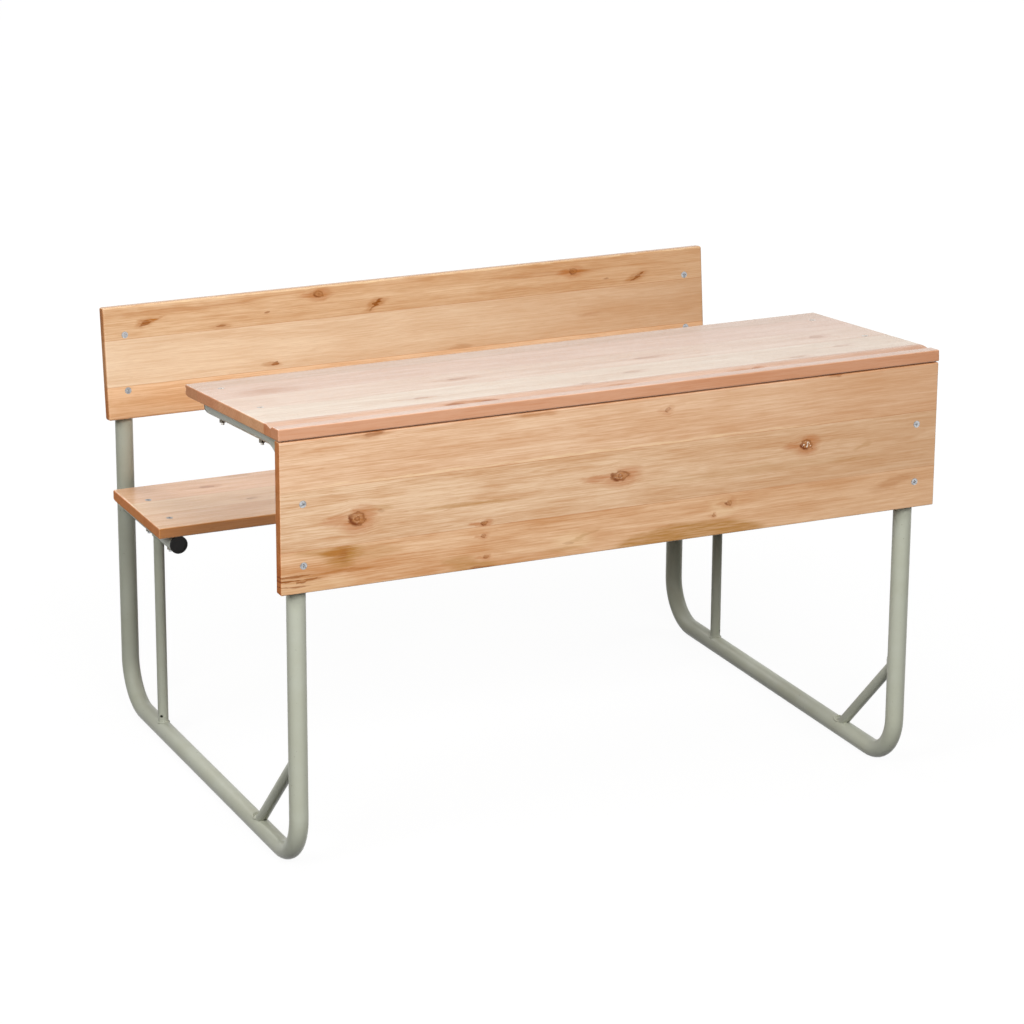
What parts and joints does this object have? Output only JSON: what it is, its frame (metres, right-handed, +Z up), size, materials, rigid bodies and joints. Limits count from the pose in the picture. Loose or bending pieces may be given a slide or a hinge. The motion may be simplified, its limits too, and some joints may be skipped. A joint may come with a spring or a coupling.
{
  "type": "double school desk with bench",
  "caption": "Double school desk with a fixed sloping top, modesty panel, bench seat and backrest of glued wood on bent-tube side frames.",
  "frame": {"origin": "on the floor, at the centre of the desk's length and depth", "axes": "+X along the boards, +Y from the modesty panel towards the backrest, +Z up from the floor"},
  "size_m": [1.2, 0.9276, 0.7708],
  "materials": {
    "top_wood": "clear satin lacquer",
    "panel_wood": "clear satin lacquer",
    "seat_wood": "clear satin lacquer",
    "backrest_wood": "clear satin lacquer",
    "sage_paint": "satin powder coat",
    "black_plastic": "moulded, slight sheen",
    "zinc": "bright zinc plate"
  },
  "bodies": {
    "root": {"top_lip_strip": "top_wood", "top_groove_strip": "top_wood", "top_stave_1": "top_wood", "top_stave_2": "top_wood", "top_stave_3": "top_wood", "top_rear_strip": "top_wood", "panel_lower_stave": "panel_wood", "panel_middle_stave": "panel_wood", "panel_upper_stave": "panel_wood", "seat_front_stave": "seat_wood", "seat_middle_stave": "seat_wood", "seat_rear_stave": "seat_wood", "backrest_lower_stave": "backrest_wood", "backrest_middle_stave": "backrest_wood", "backrest_upper_stave": "backrest_wood", "left_main_tube": "sage_paint", "left_seat_rail": "sage_paint", "left_seat_strut": "sage_paint", "left_brace": "sage_paint", "right_main_tube": "sage_paint", "right_seat_rail": "sage_paint", "right_seat_strut": "sage_paint", "right_brace": "sage_paint", "desk_rail_plugs": "black_plastic", "upright_plugs": "black_plastic", "seat_rail_plugs": "black_plastic", "top_bolts": "zinc", "top_nuts": "zinc", "panel_bolts": "zinc", "panel_nuts": "zinc", "seat_bolts": "zinc", "seat_nuts": "zinc", "backrest_bolts": "zinc", "backrest_nuts": "zinc"}
  },
  "joints": []
}
